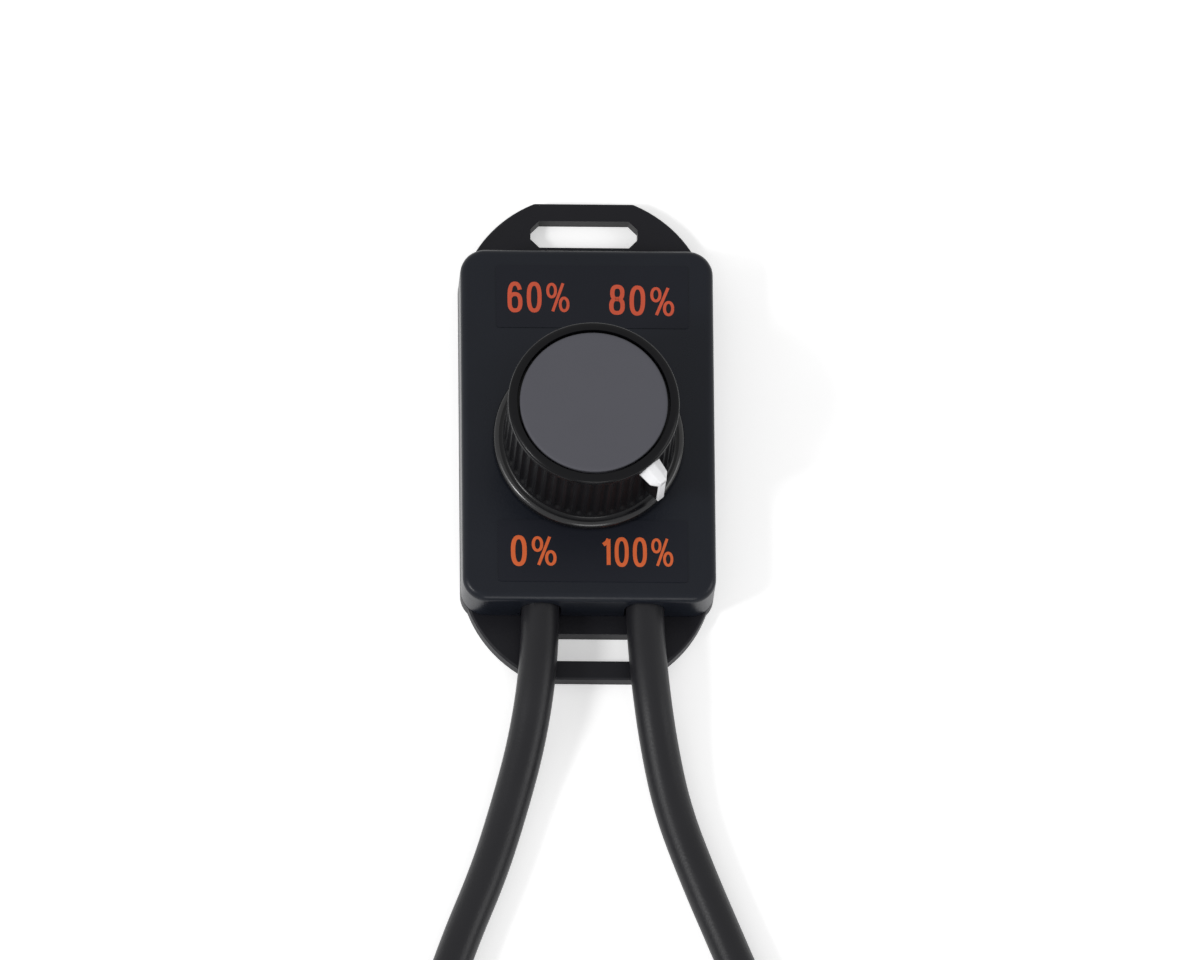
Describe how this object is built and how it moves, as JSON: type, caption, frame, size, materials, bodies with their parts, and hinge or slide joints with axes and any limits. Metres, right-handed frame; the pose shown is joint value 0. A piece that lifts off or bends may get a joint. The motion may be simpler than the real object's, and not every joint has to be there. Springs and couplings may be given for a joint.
{
  "type": "light dimmer",
  "caption": "Flat in-line dimmer box with a fluted turning knob, percent labels on the face, slotted strap ears at both ends and flexible supply and load leads.",
  "frame": {"origin": "middle of the back plate's underside, midway between the ends of the two ears", "axes": "+Z out of the face along the knob's axis, +Y along the box away from the leads, +X to the right as the face is read"},
  "size_m": [0.072, 0.2225, 0.0282],
  "materials": {
    "housing_plastic": "fine satin texture, near black",
    "plate_plastic": "fine satin texture, near black",
    "knob_plastic": "satin, near black",
    "cap_plastic": "dull dark grey",
    "pointer_plastic": "white, slightly glossy",
    "label_film": "matt printed film",
    "jacket": "matt black cable jacket",
    "core_insulation": "coloured core insulation",
    "bright_metal": "plain plated steel",
    "brass": "turned brass",
    "tin": "tinned copper",
    "board": "green lacquered laminate",
    "moulded_black": "moulded component body",
    "pot_plastic": "dull blue moulding",
    "track": "carbon track on a laminate",
    "tie": "plastic covered wire tie",
    "resistor_body": "lacquered ceramic"
  },
  "bodies": {
    "enclosure": {"front_housing": "housing_plastic", "back_plate": "plate_plastic", "upper_label": "label_film", "lower_label": "label_film", "pot_case": "pot_plastic", "pot_track": "track", "pot_cover": "bright_metal", "pot_washer": "bright_metal", "pot_nut": "bright_metal", "pot_terminals": "tin", "circuit_board": "board", "control_chip": "moulded_black", "power_transistor": "moulded_black", "smoothing_capacitor": "bright_metal", "resistors": "resistor_body", "housing_screws": "bright_metal", "cable_clamp": "moulded_black", "clamp_screws": "bright_metal", "input_wires": "core_insulation", "output_wires": "core_insulation", "input_cable": "jacket", "output_cable": "jacket", "input_cable_coil": "jacket", "output_cable_coil": "jacket", "input_cores": "core_insulation", "output_cores": "core_insulation", "core_ferrules": "tin", "coil_tie": "tie"},
    "knob": {"knob_body": "knob_plastic", "knob_cap": "cap_plastic", "knob_pointer": "pointer_plastic", "knob_insert": "brass", "pot_shaft": "bright_metal", "pot_rotor": "moulded_black", "pot_wiper": "brass"}
  },
  "joints": [
    {"name": "knob_turn", "type": "hinge", "parent": "enclosure", "child": "knob", "pos_m": [0, -0.0029, 0], "axis": [0, 0, 1], "range_deg": [0, 280]}
  ]
}
